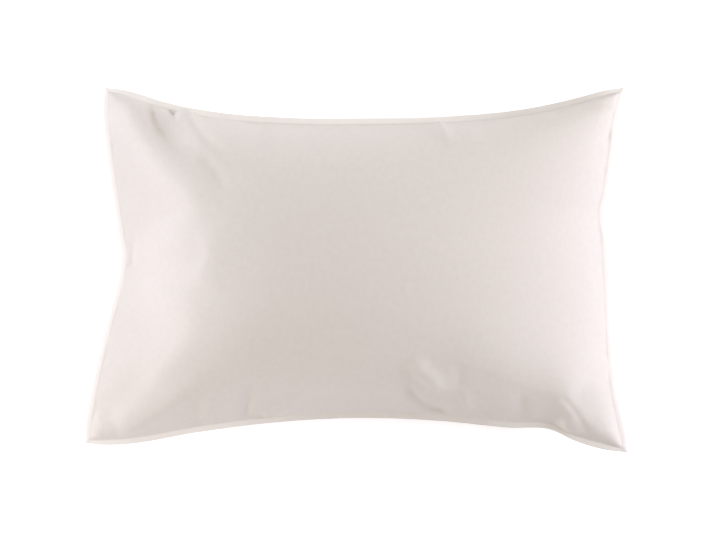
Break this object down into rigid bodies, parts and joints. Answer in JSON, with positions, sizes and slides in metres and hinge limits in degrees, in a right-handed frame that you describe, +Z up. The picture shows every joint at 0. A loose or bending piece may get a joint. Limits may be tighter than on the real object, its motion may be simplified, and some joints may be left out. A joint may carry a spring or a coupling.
{
  "type": "waterproof pillow protector",
  "caption": "Filled rectangular pillow protector lying on its back, with a crowned face, flat corner ears and drawn-in seamed sides.",
  "frame": {"origin": "on the resting surface, under the middle of the pillow's outline", "axes": "+X along the pillow's length, +Y across it towards its head side, +Z up, out of its front face"},
  "size_m": [0.7428, 0.502, 0.1985],
  "materials": {
    "cover_cloth": "plain woven cotton, warm white, matt with a faint sheen"
  },
  "bodies": {
    "root": {"filled_cover": "cover_cloth"}
  },
  "joints": []
}
